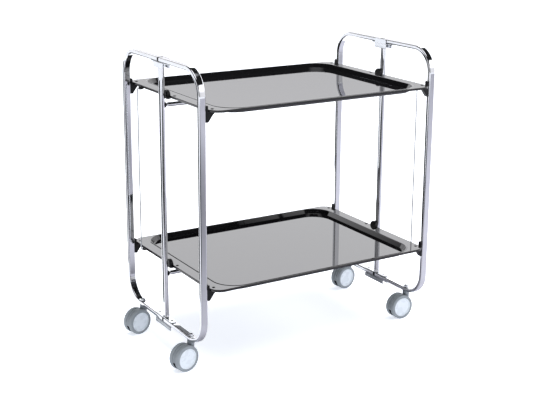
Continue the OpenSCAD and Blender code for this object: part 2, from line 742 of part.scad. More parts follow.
stand() at_caster(1, -1, front_right_turn) hub(1);  // front_right_rear_hub
stand() at_caster(1, 1, rear_right_turn) hood();  // rear_right_hood
stand() at_caster(1, 1, rear_right_turn) axle();  // rear_right_axle
stand() at_caster(1, 1, rear_right_turn) tyre(-1);  // rear_right_front_tyre
stand() at_caster(1, 1, rear_right_turn) hub(-1);  // rear_right_front_hub
stand() at_caster(1, 1, rear_right_turn) tyre(1);  // rear_right_rear_tyre
stand() at_caster(1, 1, rear_right_turn) hub(1);  // rear_right_rear_hub
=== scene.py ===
import json
import math

import bmesh
import bpy
from mathutils import Matrix, Vector


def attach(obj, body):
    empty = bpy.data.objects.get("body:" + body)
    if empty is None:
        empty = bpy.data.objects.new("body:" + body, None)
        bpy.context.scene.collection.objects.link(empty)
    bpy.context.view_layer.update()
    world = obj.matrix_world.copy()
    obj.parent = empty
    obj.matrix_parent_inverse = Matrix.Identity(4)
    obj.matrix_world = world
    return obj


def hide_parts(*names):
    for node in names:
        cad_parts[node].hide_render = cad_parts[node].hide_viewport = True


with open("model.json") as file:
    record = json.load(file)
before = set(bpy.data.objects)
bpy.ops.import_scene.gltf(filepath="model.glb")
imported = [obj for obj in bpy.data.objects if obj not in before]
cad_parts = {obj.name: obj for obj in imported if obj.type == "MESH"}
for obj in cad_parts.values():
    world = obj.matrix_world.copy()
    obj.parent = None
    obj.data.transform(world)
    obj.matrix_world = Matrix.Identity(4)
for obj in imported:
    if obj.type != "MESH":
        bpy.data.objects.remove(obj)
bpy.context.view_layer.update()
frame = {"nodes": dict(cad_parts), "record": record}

MM = 0.001

# ---------------------------------------------------------------- sizes of the trolley, in millimetres

STAND = 20.0                 # the end frames' middle stands this far to +X of the wheels' middle
FRAME_X = 310.0              # middle of the trolley to an end frame
UPRIGHT_Y = 191.0            # middle of the trolley to an upright
TOP_Z, BOTTOM_Z = 696.0, 74.0
BEND_R = 57.0
TUBE_W, TUBE_T, TUBE_R, TUBE_WALL = 17.0, 10.0, 3.0, 1.2
HALF_GAP = 4.0               # half of the gap between the front and rear half of a rail
PIVOT_Y = 32.0               # hinge pins from the middle of a rail
LEAF_W, LEAF_T, LEAF_HALF = 14.0, 2.0, 45.0
WEB_LEN = 46.0
PIN_R, PIN_HEAD_R, PIN_HEAD_H = 2.5, 4.0, 1.2
SEAT = 0.3                   # gap between pieces that lie face to face
POST_R, POST_WALL = 7.0, 1.5
RIMS = {"upper": 614.0, "lower": 211.0}
TRAY_X, TRAY_Y, TRAY_CORNER = 296.0, 217.0, 28.0
SHEET, HEM = 1.2, 5.0
WELL_DEPTH, WELL_LEAN, WELL_CORNER, BEAD_R = 11.0, 7.0, 52.0, 1.6
END_LEDGE, SIDE_LEDGE = 31.0, 7.0
BAR_DROP, BAR_R, BAR_END = 22.5, 5.0, 297.0
SPIGOT_R, SPIGOT_END = 3.0, 306.5
PAD_X = 301.2                # the catches' pads lie against the uprights' inner faces here
RIVET_X = 284.0
ROD_X, ROD_Y, ROD_R, ROD_DROP = 299.0, 154.0, 1.5, 10.0
STEM_Y = 127.0
WHEEL_R, WHEEL_W, TRAIL = 31.0, 10.5, 20.0
HOOD_HALF, NECK_R = 4.0, 8.5
WHEEL_IN = 5.0               # a wheel's inner face from the middle of its hood
HUB_R = 24.0
WHEEL_STEPS = 96             # faces round a wheel

RAIL_TOP = BOTTOM_Z + TUBE_T / 2
RAIL_UNDER = BOTTOM_Z - TUBE_T / 2
LOW_LEAF = RAIL_TOP + SEAT               # underside of the bottom hinge's leaf
HIGH_LEAF = TOP_Z - TUBE_T / 2 - SEAT - LEAF_T
STRAP_UNDER = RAIL_UNDER - SEAT - LEAF_T

EYE = (-1.3699, -2.2401, 1.0882)         # the camera's place, in metres
AIM = (31.6603, 14.7998, 0.3912)         # its yaw, pitch and roll, in degrees
SENSOR, LENS, LENS_SHIFT = 36.0, 72.990, -0.06
PATCH = (-0.85, -1.95, 0.0)              # middle of the dark patch on the grey card, in metres
PATCH_EDGE = (1.0, 1.8)                  # it fades out between these distances

CASTERS = {                  # end, long side and turn of each caster as it stands
    "front_left": (-1, -1, 11), "rear_left": (-1, 1, 13),
    "front_right": (1, -1, -1), "rear_right": (1, 1, 8),
}

# ---------------------------------------------------------------- colours and nodes


def srgb(code):
    """A hex colour as Blender's linear RGBA."""
    parts = [int(code[i:i + 2], 16) / 255 for i in (1, 3, 5)]
    linear = [c / 12.92 if c <= 0.04045 else ((c + 0.055) / 1.055) ** 2.4 for c in parts]
    return tuple(linear) + (1.0,)


def add(tree, kind, links=(), **settings):
    """Adds one node. Settings name its properties, and links are (socket, a value or where it
    comes from)."""
    node = tree.nodes.new(kind)
    for name, value in settings.items():
        setattr(node, name, value)
    for socket, source in links:
        if isinstance(source, bpy.types.NodeSocket):
            tree.links.new(source, node.inputs[socket])
        else:
            node.inputs[socket].default_value = source
    return node


def new_material(name, colour, **sockets):
    """A material with its shader's own sockets set, and the places of the surface in metres."""
    made = bpy.data.materials.new(name)
    made.use_nodes = True
    tree = made.node_tree
    shader = tree.nodes["Principled BSDF"]
    shader.inputs["Base Color"].default_value = srgb(colour)
    for socket, value in sockets.items():
        shader.inputs[socket.replace("_", " ")].default_value = value
    made.diffuse_color = srgb(colour)
    return made, tree, shader, add(tree, "ShaderNodeTexCoord").outputs["Object"]


def per_metre(size_mm):
    """The scale at which a noise or wave has one cell in that many millimetres."""
    return 1000.0 / size_mm


def vary(tree, shader, factor, low, high, rough_low, rough_high):
    """Lets one pattern move the base colour and the roughness between two ends."""
    tint = add(tree, "ShaderNodeMix", [(0, factor), (6, srgb(low)), (7, srgb(high))], data_type="RGBA")
    tree.links.new(tint.outputs[2], shader.inputs["Base Color"])
    sheen = add(tree, "ShaderNodeMapRange", [("Value", factor), ("From Min", 0.3), ("From Max", 0.7),
                                             ("To Min", rough_low), ("To Max", rough_high)])
    tree.links.new(sheen.outputs["Result"], shader.inputs["Roughness"])


def raise_grain(tree, shader, height, depth_mm, strength):
    """Raises a pattern from the surface by a real depth."""
    lift = add(tree, "ShaderNodeBump", [("Height", height), ("Distance", depth_mm * MM), ("Strength", strength)])
    tree.links.new(lift.outputs["Normal"], shader.inputs["Normal"])


# ---------------------------------------------------------------- materials


def chrome_plate(name, low, high, polish, wave_mm, wave_depth):
    """Bright nickel chrome on polished steel: it mirrors the studio, with a slow wave left by the
    polishing wheel."""
    made, tree, shader, place = new_material(name, high, Metallic=1.0, Roughness=polish)
    haze = add(tree, "ShaderNodeTexNoise", [("Vector", place), ("Scale", per_metre(22)), ("Detail", 3.0)])
    vary(tree, shader, haze.outputs["Fac"], low, high, polish * 0.7, polish * 1.8)
    wave = add(tree, "ShaderNodeTexNoise", [("Vector", place), ("Scale", per_metre(wave_mm)), ("Detail", 1.0)])
    raise_grain(tree, shader, wave.outputs["Fac"], wave_depth, 0.5)
    return made


def zinc_plate():
    """Bright zinc on pressed steel strip: a soft grey shine, broken by the strip's fine rolling
    lines along its length."""
    made, tree, shader, place = new_material("bright_zinc_on_steel_strip", "#a0a2a5", Metallic=1.0, Roughness=0.3)
    rolled = add(tree, "ShaderNodeMapping", [("Vector", place), ("Scale", (1.0, 0.06, 1.0))])
    lines = add(tree, "ShaderNodeTexNoise", [("Vector", rolled.outputs["Vector"]), ("Scale", per_metre(1.2)),
                                             ("Detail", 3.0)])
    vary(tree, shader, lines.outputs["Fac"], "#85888c", "#aeb1b5", 0.24, 0.38)
    raise_grain(tree, shader, lines.outputs["Fac"], 0.02, 0.4)
    return made


def black_enamel():
    """Stoved gloss enamel on pressed sheet: black, but a clean mirror at a low angle, with a
    faint orange peel."""
    made, tree, shader, place = new_material("stoved_black_enamel", "#0f0f11", Roughness=0.03, IOR=1.5)
    peel = add(tree, "ShaderNodeTexNoise", [("Vector", place), ("Scale", per_metre(6)), ("Detail", 2.0)])
    vary(tree, shader, peel.outputs["Fac"], "#0b0b0c", "#141416", 0.02, 0.05)
    raise_grain(tree, shader, peel.outputs["Fac"], 0.004, 0.4)
    return made


def moulded_plastic(name, low, high, rough, grain_mm, depth_mm, ior=1.5):
    """Injection moulded plastic: an even tone that drifts a little, with the fine grain of an
    eroded mould."""
    made, tree, shader, place = new_material(name, low, Roughness=rough, IOR=ior)
    tone = add(tree, "ShaderNodeTexNoise", [("Vector", place), ("Scale", per_metre(16)), ("Detail", 2.0)])
    vary(tree, shader, tone.outputs["Fac"], low, high, rough * 0.85, rough * 1.15)
    grain = add(tree, "ShaderNodeTexNoise", [("Vector", place), ("Scale", per_metre(grain_mm)), ("Detail", 2.0)])
    raise_grain(tree, shader, grain.outputs["Fac"], depth_mm, 0.35)
    return made


# Eroded grain is about 0.1 mm in the real mouldings. It is drawn at 1 mm and more, or it would not show at all.
FINISHES = {
    "chrome_tube": chrome_plate("chrome_on_steel_tube", "#cbccd0", "#d6d7da", 0.03, 9, 0.012),
    "chrome_plate": chrome_plate("chrome_on_pressed_steel", "#c8cace", "#d4d6d9", 0.055, 8, 0.008),
    "zinc_steel": zinc_plate(),
    "black_enamel": black_enamel(),
    "black_plastic": moulded_plastic("black_nylon_moulding", "#08080a", "#101013", 0.38, 1.0, 0.03, 1.33),
    "grey_plastic": moulded_plastic("grey_nylon_hood", "#7b8288", "#868d93", 0.42, 1.2, 0.03),
    "grey_tyre": moulded_plastic("grey_polyurethane_tread", "#838a90", "#8f969c", 0.5, 1.6, 0.05),
    "pale_plastic": moulded_plastic("pale_grey_abs_hub", "#ccd4dc", "#d6dde5", 0.28, 1.4, 0.02),
}
SLOT_OF = {part["node"]: part["material_slot"] for part in frame["record"]["subparts"]}
BODY_OF = {node: body for body, nodes in frame["record"]["behaviour"]["bodies"].items() for node in nodes}

# ---------------------------------------------------------------- ways of making a mesh


TO_X = Matrix.Rotation(math.pi / 2, 4, "Y")                                  # lays a turned piece along X
SIDEWAYS = Matrix(((1, 0, 0, 0), (0, 0, 1, 0), (0, 1, 0, 0), (0, 0, 0, 1)))  # an XZ outline, given depth along Y
END_ON = Matrix(((0, 0, 1, 0), (1, 0, 0, 0), (0, 1, 0, 0), (0, 0, 0, 1)))    # a YZ outline, given depth along X


def at(x=0.0, y=0.0, z=0.0, turn=0.0):
    """A place in millimetres from the middle of the end frames, turned about the vertical by degrees."""
    return Matrix.Translation((x + STAND, y, z)) @ Matrix.Rotation(math.radians(turn), 4, "Z")


def round_rect(w, d, r, steps=6):
    """The outline of a rectangle with round corners, about its middle."""
    outline = []
    for corner, (sx, sy) in enumerate(((1, 1), (-1, 1), (-1, -1), (1, -1))):
        for k in range(steps + 1):
            a = math.radians(90 * corner + 90 * k / steps)
            outline.append((sx * (w / 2 - r) + r * math.cos(a), sy * (d / 2 - r) + r * math.sin(a)))
    return outline


def arc(cx, cy, r, start, end, steps):
    """Points on an arc, its angles in degrees."""
    return [(cx + r * math.cos(math.radians(start + (end - start) * k / steps)),
             cy + r * math.sin(math.radians(start + (end - start) * k / steps))) for k in range(steps + 1)]


def skin(shell, loops, capped=True, ring=False):
    """Skins one loop of points to the next. A ring joins the last loop to the first."""
    rows = [[shell.verts.new(p) for p in loop] for loop in loops]
    count = len(rows[0])
    for low, high in zip(rows, rows[1:] + rows[:1] if ring else rows[1:]):
        for k in range(count):
            shell.faces.new((low[k], low[(k + 1) % count], high[(k + 1) % count], high[k]))
    if capped and not ring:
        shell.faces.new(rows[0][::-1])
        shell.faces.new(rows[-1])


def prism(shell, outline, low, high, place):
    """A flat outline given a thickness along the place's own Z."""
    skin(shell, [[place @ Vector((x, y, z)) for x, y in outline] for z in (low, high)])


def turned(shell, outline, place, steps=48, ring=False):
    """An outline of (radius, height) pairs spun round the place's own Z, as on a lathe."""
    rows = []
    for radius, height in outline:
        count = 1 if radius < 1e-6 else steps
        rows.append([shell.verts.new(place @ Vector((radius * math.cos(2 * math.pi * k / steps),
                                                     radius * math.sin(2 * math.pi * k / steps), height)))
                     for k in range(count)])
    for low, high in zip(rows, rows[1:] + rows[:1] if ring else rows[1:]):
        for k in range(steps):
            n = (k + 1) % steps
            corners = [low[k % len(low)], low[n % len(low)], high[n % len(high)], high[k % len(high)]]
            face = list(dict.fromkeys(corners))
            if len(face) > 2:
                shell.faces.new(face)


def make(name, stands_for, shell, edge=0.0, cuts=3, inside=None):
    """Turns a shell in millimetres into a piece that rides and is finished as the node it stands for.
    Faces with material index 1 get the finish named by inside; the wheels use this for painted shade on their inner
    faces."""
    bmesh.ops.recalc_face_normals(shell, faces=shell.faces)
    bmesh.ops.scale(shell, vec=(MM, MM, MM), verts=shell.verts)
    mesh = bpy.data.meshes.new(name)
    shell.to_mesh(mesh)
    shell.free()
    for face in mesh.polygons:
        face.use_smooth = True
    mesh.materials.append(FINISHES[SLOT_OF[stands_for]])
    if inside:
        mesh.materials.append(FINISHES[inside])
    piece = bpy.data.objects.new(name, mesh)
    bpy.context.scene.collection.objects.link(piece)
    if edge:
        bevel = piece.modifiers.new("broken_edges", "BEVEL")
        bevel.width, bevel.segments, bevel.limit_method = edge * MM, cuts, "ANGLE"
        bevel.angle_limit = math.radians(35)
    else:
        mesh.set_sharp_from_angle(angle=math.radians(40))
    flats = piece.modifiers.new("true_flats", "WEIGHTED_NORMAL")
    flats.keep_sharp = True
    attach(piece, BODY_OF[stands_for])
    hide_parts(stands_for)


# ---------------------------------------------------------------- end frames


def half_frame(name, side, depth):
    """One hollow flat tube bent to a C, open at its two cut ends."""
    def along(w, t, r):
        section = round_rect(w, t, r)
        line = [((HALF_GAP, TOP_Z), 90)]
        line += [(p, 90 - 90 * k / 32) for k, p in
                 enumerate(arc(UPRIGHT_Y - BEND_R, TOP_Z - BEND_R, BEND_R, 90, 0, 32))]
        line += [(p, -90 * k / 32) for k, p in
                 enumerate(arc(UPRIGHT_Y - BEND_R, BOTTOM_Z + BEND_R, BEND_R, 0, -90, 32))]
        line += [((HALF_GAP, BOTTOM_Z), -90)]
        loops = []
        for (y, z), a in line:
            out_y, out_z = math.cos(math.radians(a)), math.sin(math.radians(a))
            loops.append([Vector((side * FRAME_X + STAND + u, depth * (y + v * out_y), z + v * out_z))
                          for u, v in section])
        return loops
    shell = bmesh.new()
    inside = along(TUBE_W - 2 * TUBE_WALL, TUBE_T - 2 * TUBE_WALL, TUBE_R - TUBE_WALL)
    skin(shell, along(TUBE_W, TUBE_T, TUBE_R) + inside[::-1], ring=True)
    make(name, name, shell)


def tube_plugs():
    """The black plugs in the eight cut tube ends, each with a softened cap."""
    shell = bmesh.new()
    cap, tail = 3.6, PIVOT_Y + 8.0
    shapes = [(HALF_GAP - cap, 0.7), (HALF_GAP - cap + 0.3, 0.2), (HALF_GAP - cap + 0.7, 0.0),
              (HALF_GAP - 0.02, 0.0)]
    for side in (-1, 1):
        for depth in (-1, 1):
            for z in (BOTTOM_Z, TOP_Z):
                loops = [[Vector((side * FRAME_X + STAND + u, depth * y, z + v)) for u, v in
                          round_rect(TUBE_W - 2 * inset, TUBE_T - 2 * inset, TUBE_R - inset)] for y, inset in shapes]
                for y in (HALF_GAP, tail):
                    loops.append([Vector((side * FRAME_X + STAND + u, depth * y, z + v)) for u, v in
                                  round_rect(TUBE_W - 2.5, TUBE_T - 2.5, TUBE_R - TUBE_WALL)])
                skin(shell, loops)
    make("tube_plugs", "tube_plugs", shell)


def leaf_end(shell, place, inner, outer):
    """One tongue of a hinge leaf, square at its root and round at its tip, by distances along Y."""
    way = 1 if outer > inner else -1
    tip = arc(0, outer - way * LEAF_W / 2, LEAF_W / 2 - 0.02, 0, 180 * way, 20)
    prism(shell, [(LEAF_W / 2 - 0.02, inner)] + tip + [(-LEAF_W / 2 + 0.02, inner)], 0.02, LEAF_T - 0.02, place)


def turned_down(shell, place, left, right, top, drop, length, bend=2.6, thick=LEAF_T):
    """Sheet with both sides turned down over a bend, its profile across the local X and its
    length along Y."""
    low = top - drop - thick
    outer = [(left, low)] + arc(left + bend, top - bend, bend, 180, 90, 8)
    outer += arc(right - bend, top - bend, bend, 90, 0, 8) + [(right, low)]
    fold = bend - thick
    inner = [(right - thick, low)] + arc(right - thick - fold, top - thick - fold, fold, 0, 90, 8)
    inner += arc(left + thick + fold, top - thick - fold, fold, 90, 180, 8) + [(left + thick, low)]
    profile = outer + inner
    skin(shell, [[place @ Vector((x, y, z)) for x, z in profile] for y in (-length / 2, length / 2)])


def top_hinge(name, side):
    """Pressed hinge under the top rail: a leaf with round tips, sides turned down past the post,
    and an upright web."""
    shell = bmesh.new()
    place = at(side * FRAME_X, 0, HIGH_LEAF, 180 if side > 0 else 0)
    web_x = TUBE_W / 2 + SEAT
    turned_down(shell, place, -POST_R - SEAT - LEAF_T, web_x + LEAF_T, LEAF_T, 11.0, WEB_LEN)
    for way in (-1, 1):
        leaf_end(shell, place, way * (WEB_LEN / 2 - 0.3), way * LEAF_HALF)
    half, top, r = WEB_LEN / 2 - 0.1, 12.0, 4.0
    web = [(-half, 0.4)] + arc(-half + r, top - r, r, 180, 90, 8)
    web += arc(half - r, top - r, r, 90, 0, 8) + [(half, 0.4)]
    prism(shell, web, web_x + 0.04, web_x + LEAF_T - 0.04, place @ END_ON)
    make(name, name, shell, edge=0.35)


def bottom_hinge(name, side):
    """Flat leaf with round ends on the bottom rail, which carries the post."""
    shell = bmesh.new()
    y = LEAF_HALF - LEAF_W / 2
    prism(shell, arc(0, y, LEAF_W / 2, 0, 180, 24) + arc(0, -y, LEAF_W / 2, 180, 360, 24), 0, LEAF_T,
          at(side * FRAME_X, 0, LOW_LEAF))
    make(name, name, shell, edge=0.4)


def bottom_strap(name, side):
    """Zinc strip under the bottom rail with both sides turned down."""
    shell = bmesh.new()
    turned_down(shell, at(side * FRAME_X, 0, STRAP_UNDER), -TUBE_W / 2, TUBE_W / 2, LEAF_T, 8.0, 2 * (PIVOT_Y + 7.0))
    make(name, name, shell, edge=0.35)


def hinge_pins():
    """Eight rivet pins: two domed heads on each bottom one, one head and a shank up into the tube
    on each top one."""
    shell = bmesh.new()
    dome = [(0, 0), (1.6, 0.08), (2.9, 0.36), (3.7, 0.8), (PIN_HEAD_R, PIN_HEAD_H)]
    for side in (-1, 1):
        for y in (-PIVOT_Y, PIVOT_Y):
            low = [(r, STRAP_UNDER - PIN_HEAD_H + h) for r, h in dome]
            high = [(r, LOW_LEAF + LEAF_T + PIN_HEAD_H - h) for r, h in reversed(dome)]
            turned(shell, low + [(PIN_R, STRAP_UNDER), (PIN_R, LOW_LEAF + LEAF_T)] + high, at(side * FRAME_X, y), 32)
            top = [(r, HIGH_LEAF - PIN_HEAD_H + h) for r, h in dome]
            end = TOP_Z + TUBE_T / 2 - TUBE_WALL - SEAT
            turned(shell, top + [(PIN_R, HIGH_LEAF), (PIN_R, end - 0.4), (PIN_R - 0.4, end), (0, end)],
                   at(side * FRAME_X, y), 32)
    make("hinge_pins", "hinge_pins", shell)


def centre_post(name, side):
    """Round tube post with closed ends, its foot spread a little on the hinge leaf."""
    low, high = LOW_LEAF + LEAF_T, HIGH_LEAF
    inner = POST_R - POST_WALL
    spread = [(POST_R + 1.2, 0), (POST_R + 1.2, 0.9), (POST_R + 0.7, 2.0), (POST_R + 0.2, 3.6), (POST_R, 5.5)]
    outline = [(0, low)] + [(r, low + h) for r, h in spread]
    outline += [(POST_R, high - 0.6), (POST_R - 0.6, high), (0, high)]
    shell = bmesh.new()
    turned(shell, outline, at(side * FRAME_X), 64)
    turned(shell, [(0, low + POST_WALL), (inner, low + POST_WALL), (inner, high - POST_WALL), (0, high - POST_WALL)],
           at(side * FRAME_X), 64)
    make(name, name, shell)


def bar_bushes():
    """Four collared bushes in the posts, in which the tray bars turn."""
    shell = bmesh.new()
    face, bore, sleeve = FRAME_X - POST_R, SPIGOT_R + 0.05, SPIGOT_R + 1.25
    outline = [(bore + 0.4, face - 2.0), (6.0, face - 2.0), (6.35, face - 1.85), (6.5, face - 1.5), (6.5, face + 0.6),
               (sleeve, face + 0.6), (sleeve, face + 2.5), (bore, face + 2.5), (bore, face - 1.6)]
    for rim in RIMS.values():
        for turn in (0, 180):
            turned(shell, outline, at(0, 0, rim - BAR_DROP, turn) @ TO_X, 40, ring=True)
    make("bar_bushes", "bar_bushes", shell)


def caster_nuts():
    """Four dome nuts on the bottom rails: a thin flange, six flats with chamfered corners, and
    the dome."""
    shell = bmesh.new()
    flange = [(0, 0.02), (6.5, 0.02), (6.8, 0.2), (6.8, 0.6), (6.4, 0.8), (0, 0.8)]
    dome = [(0, 3.6), (5.1, 3.6)] + [(5.1 * math.cos(math.radians(a)), 3.7 + 2.1 * math.sin(math.radians(a)))
                                    for a in (5, 25, 45, 65, 80)] + [(0, 5.8)]
    for side in (-1, 1):
        for y in (-STEM_Y, STEM_Y):
            place = at(side * FRAME_X, y, RAIL_TOP, 12)
            turned(shell, flange, place, 40)
            loops = []
            for z, r in ((0.7, 5.9), (1.0, 6.0), (3.4, 6.0), (3.9, 5.3)):
                loops.append([place @ Vector((r * math.cos(a), r * math.sin(a), z))
                              for a in (math.radians(60 * k) for k in range(6))])
            skin(shell, loops)
            turned(shell, dome, place, 40)
    make("caster_nuts", "caster_nuts", shell, edge=0.25, cuts=2)


# ---------------------------------------------------------------- trays

TRAY_RINGS = 20              # steps round a corner of the tray


def tray_loop(inset, z, corner):
    """A loop round the tray, inset from its outer edge by one distance on all sides."""
    return [Vector((x + STAND, y, z)) for x, y in
            round_rect(2 * (TRAY_X - inset), 2 * (TRAY_Y - inset), corner, TRAY_RINGS)]


def well_loop(out, z):
    """A loop round the well's mouth, out from its edge by a distance, or in where it is negative."""
    return [Vector((x + STAND, y, z)) for x, y in
            round_rect(2 * (TRAY_X - END_LEDGE + out), 2 * (TRAY_Y - SIDE_LEDGE + out),
                       WELL_CORNER + out, TRAY_RINGS)]


def tray(name, rim):
    """Pressed sheet: a folded hem, the ledge, a rolled bead, leaning walls with pressed radii,
    and the flat floor."""
    fold, foot = 1.8, 3.0
    lean = math.degrees(math.atan2(WELL_LEAN, WELL_DEPTH))
    top = [tray_loop(0.0, rim - HEM, TRAY_CORNER)]
    top += [tray_loop(fold - fold * math.cos(math.radians(a)), rim - fold + fold * math.sin(math.radians(a)),
                      TRAY_CORNER - (fold - fold * math.cos(math.radians(a)))) for a in range(0, 91, 15)]
    # the rolled bead stands a little proud of the ledge
    top += [well_loop(2 * BEAD_R + 1.4, rim), well_loop(2 * BEAD_R + 0.7, rim + 0.06)]
    top += [well_loop(BEAD_R + BEAD_R * math.cos(math.radians(a)), rim + 0.1 + 0.7 * math.sin(math.radians(a)))
            for a in range(15, 166, 15)]
    top += [well_loop(-0.05, rim + 0.02), well_loop(-0.35, rim - 0.5)]
    # a pressed radius between the leaning wall and the floor
    turn = 90 - lean
    cx = -WELL_LEAN - foot * math.tan(math.radians(turn / 2))
    for k in range(9):
        a = math.radians(turn * (1 - k / 8))
        top.append(well_loop(cx + foot * math.sin(a), rim - WELL_DEPTH + foot - foot * math.cos(a)))
    under = []
    thick = SHEET
    for k in range(9):
        a = math.radians(turn * k / 8)
        r = foot + thick
        under.append(well_loop(cx + r * math.sin(a), rim - WELL_DEPTH + foot - r * math.cos(a)))
    under += [well_loop(0.9, rim - thick - 0.4), well_loop(1.6, rim - thick),
              well_loop(2 * BEAD_R + 1.4, rim - thick)]
    inner = fold - 0.6
    under += [tray_loop(thick + inner - inner * math.cos(math.radians(a)),
                        rim - thick - inner + inner * math.sin(math.radians(a)),
                        TRAY_CORNER - thick - inner + inner * math.cos(math.radians(a))) for a in range(90, -1, -15)]
    under += [tray_loop(thick, rim - HEM, TRAY_CORNER - thick)]
    shell = bmesh.new()
    rows = [[shell.verts.new(p) for p in loop] for loop in top + under]
    count = len(rows[0])
    floor_row = len(top) - 1
    for r, (low, high) in enumerate(zip(rows, rows[1:] + rows[:1])):
        if r == floor_row:
            shell.faces.new(low)
            shell.faces.new(high)
            continue
        for k in range(count):
            shell.faces.new((low[k], low[(k + 1) % count], high[(k + 1) % count], high[k]))
    make(name, name, shell)


def tray_bar(name, rim):
    """Bright bar across under the tray, chamfered where it steps down to its spigots."""
    half = [(BAR_R, 0), (BAR_R, BAR_END - 0.8), (BAR_R - 0.8, BAR_END), (SPIGOT_R, BAR_END),
            (SPIGOT_R, SPIGOT_END - 0.5), (SPIGOT_R - 0.5, SPIGOT_END), (0, SPIGOT_END)]
    outline = [(r, -h) for r, h in reversed(half)] + half[1:]
    shell = bmesh.new()
    turned(shell, outline, at(0, 0, rim - BAR_DROP) @ TO_X, 48)
    make(name, name, shell)


def bar_saddles(name, rim):
    """Three moulded saddles that hold the bar below the tray, with filleted feet on its underside."""
    shell = bmesh.new()
    r, top, foot, length = BAR_R + 2.05, BAR_R + 5.29, 11.0, 18.0
    fillet = 2.0
    outline = [(-r - foot, top), (-r - foot, top - 2.0)] + arc(-r - fillet, top - 2 - fillet, fillet, 90, 0, 6)
    outline += arc(0, 0, r, 180, 360, 32) + arc(r + fillet, top - 2 - fillet, fillet, 180, 90, 6)
    outline += [(r + foot, top - 2.0), (r + foot, top)]
    bore = arc(0, 0, BAR_R + 0.05, 90, 450, 48)
    for x in (-200.0, 0.0, 200.0):
        place = Matrix.Translation((x + STAND, 0, rim - BAR_DROP)) @ END_ON
        prism(shell, outline + [(0.01, top)] + bore[::-1][:-1] + [(-0.01, top)], -length / 2, length / 2, place)
    make(name, name, shell, edge=0.5)


def mirrored(sx, sy):
    """Mirrors left to right, front to back, or both."""
    return Matrix.Translation((STAND, 0, 0)) @ Matrix.Diagonal((sx, sy, 1, 1))


def corner_catches(name, rim):
    """Four nylon catches: a gusset under the tray's corner, a hook over its edge and a pad on the
    upright."""
    root = TRAY_X - SHEET - SEAT - 0.8
    back = TRAY_X + SEAT
    outline = [(back, 6.6)] + arc(back + 1.6, 6.9, 1.6, 190, 100, 5) + [(PAD_X - 0.6, 8.8), (PAD_X, 8.2)]
    outline += [(PAD_X, -27.2), (PAD_X - 0.8, -28.0), (back, -28.0), (back - 1.2, -26.8)]
    outline += [(root - 7.65, -14.0), (root - 17.0, -4.2), (root - 17.0, -SHEET), (root, -SHEET),
                (root, -HEM - SEAT), (back, -HEM - SEAT)]
    shell = bmesh.new()
    for sx in (-1, 1):
        for sy in (-1, 1):
            place = mirrored(sx, sy) @ Matrix.Translation((0, UPRIGHT_Y, rim)) @ SIDEWAYS
            prism(shell, outline, -4.5, 4.5, place)
    make(name, name, shell, edge=0.55)


def centre_catches(name, rim):
    """Two half-round nylon catches over the tray's edge beside the posts, each with a sole
    riveted under the sheet."""
    shell = bmesh.new()
    r, rise, thick, low = 11.0, 0.8, 8.0, -8.0
    outer, inner = -PAD_X, -PAD_X + thick
    slot_out, soft = -TRAY_X - SEAT, 1.2
    for turn in (0, 180):
        place = at(0, 0, rim, turn)
        loops = []
        for k in range(25):
            y = -r * math.cos(math.pi * k / 24)
            top = rise + math.sqrt(max(0.0, r * r - y * y))
            side = [(outer, low), (outer, top - soft), (outer + 0.35 * soft, top - 0.35 * soft), (outer + soft, top),
                    (inner - soft, top), (inner - 0.35 * soft, top - 0.35 * soft), (inner, top - soft), (inner, 0.05),
                    (slot_out, 0.05), (slot_out, -HEM - SEAT), (inner, -HEM - SEAT), (inner, low)]
            loops.append([place @ Vector((x, y, z)) for x, z in side])
        skin(shell, loops)
        sole_x, rivet_x, rivet_y = -TRAY_X + SHEET + SEAT, -RIVET_X - 4.0, -21.0
        x0, x1, y0, y1 = sole_x, rivet_x + 5.0, rivet_y - 5.0, r
        sole = [(x0, y0), (x1 - 3, y0)] + arc(x1 - 3, y0 + 3, 3, -90, 0, 6) + [(x1, y1), (x0, y1)]
        prism(shell, sole, -SHEET - 3.0, -SHEET - 0.02, place)
    make(name, name, shell, edge=0.4, cuts=2)


def tray_rivets(name, rim):
    """Six black rivets with low domed heads on the ledge."""
    shell = bmesh.new()
    outline = [(0, -4.2), (2, -4.2), (2, 0.02), (3.6, 0.02), (3.55, 0.3), (3.1, 0.75),
               (2.3, 1.05), (1.2, 1.17), (0, 1.2)]
    spots = [(sx * RIVET_X, sy * UPRIGHT_Y) for sx in (-1, 1) for sy in (-1, 1)]
    spots += [(-RIVET_X - 4, -21.0), (RIVET_X + 4, 21.0)]
    for x, y in spots:
        turned(shell, outline, at(x, y, rim), 32)
    make(name, name, shell)


def rod_blocks(name, rim):
    """Two nylon lugs under the tray's ends that carry the link rods' bent ends."""
    shell = bmesh.new()
    outer = TRAY_X - SHEET - SEAT
    lug = [(4.5, -SHEET - 0.02), (4.5, -8.5)] + arc(0, -9.0, 4.5, 0, -180, 16)
    lug += [(-4.5, -8.5), (-4.5, -SHEET - 0.02)]
    for turn in (0, 180):
        place = at(0, 0, rim, turn) @ Matrix.Translation((0, ROD_Y, 0)) @ END_ON
        prism(shell, lug, -outer, -outer + 10.0, place)
    make(name, name, shell, edge=0.7)


